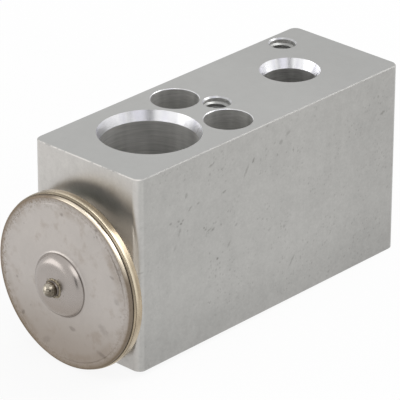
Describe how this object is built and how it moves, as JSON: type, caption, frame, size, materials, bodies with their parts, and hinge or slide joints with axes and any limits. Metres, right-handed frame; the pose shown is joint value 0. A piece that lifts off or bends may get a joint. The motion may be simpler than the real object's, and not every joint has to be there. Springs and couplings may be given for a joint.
{
  "type": "block expansion valve",
  "caption": "Aluminium block expansion valve with round steel power element, through suction passage, liquid ports, flange screw holes and adjusting screw.",
  "frame": {"origin": "centre of the block's evaporator face, the lower port face", "axes": "+X along the valve axis from the power element to the adjusting screw, +Z along the ports towards the hose face, +Y towards the side with the offset bracket thread"},
  "size_m": [0.099, 0.041, 0.0478],
  "materials": {
    "block_aluminium": "milled port faces and matte drawn sides with fine pits",
    "rod_aluminium": "fine turned",
    "head_stainless": "satin, drawn, with faint stains",
    "rim_stainless": "satin with brown-gold heat tint at the weld",
    "polished_steel": "polished",
    "spring_steel": "smooth rolled or drawn",
    "turned_brass": "fine turned",
    "seal_rubber": "smooth moulded"
  },
  "bodies": {
    "body": {"valve_body": "block_aluminium", "power_element_cap": "head_stainless", "charge_ball": "polished_steel", "diaphragm": "spring_steel", "lower_cap": "rim_stainless", "threaded_collar": "head_stainless", "head_seal": "seal_rubber", "rod_seal": "seal_rubber", "seal_retainer": "spring_steel", "superheat_spring": "spring_steel"},
    "valve_train": {"diaphragm_stop": "turned_brass", "sensing_rod": "rod_aluminium", "valve_pin": "polished_steel", "valve_ball": "polished_steel", "ball_support": "turned_brass", "damper_spring": "spring_steel"},
    "adjuster_ring": {"adjuster_seal": "seal_rubber"},
    "adjuster": {"adjusting_screw": "turned_brass"}
  },
  "joints": [
    {"name": "valve_lift", "type": "slide", "parent": "body", "child": "valve_train", "axis": [1, 0, 0], "range_m": [0, 0.0008], "stiffness_N_per_m": 10000, "springref_m": -0.004, "deforming": ["superheat_spring", "diaphragm"]},
    {"name": "adjuster_travel", "type": "slide", "parent": "body", "child": "adjuster_ring", "axis": [1, 0, 0], "range_m": [-0.001, 0.001], "deforming": ["superheat_spring"]},
    {"name": "adjuster_turn", "type": "hinge", "parent": "adjuster_ring", "child": "adjuster", "pos_m": [0.036, 0, 0.0193], "axis": [1, 0, 0], "range_deg": [-360, 360], "deforming": ["superheat_spring"]}
  ],
  "couplings": [
    {"joint": "adjuster_turn", "follows": "adjuster_travel", "rad_per_m": 6283.2}
  ]
}
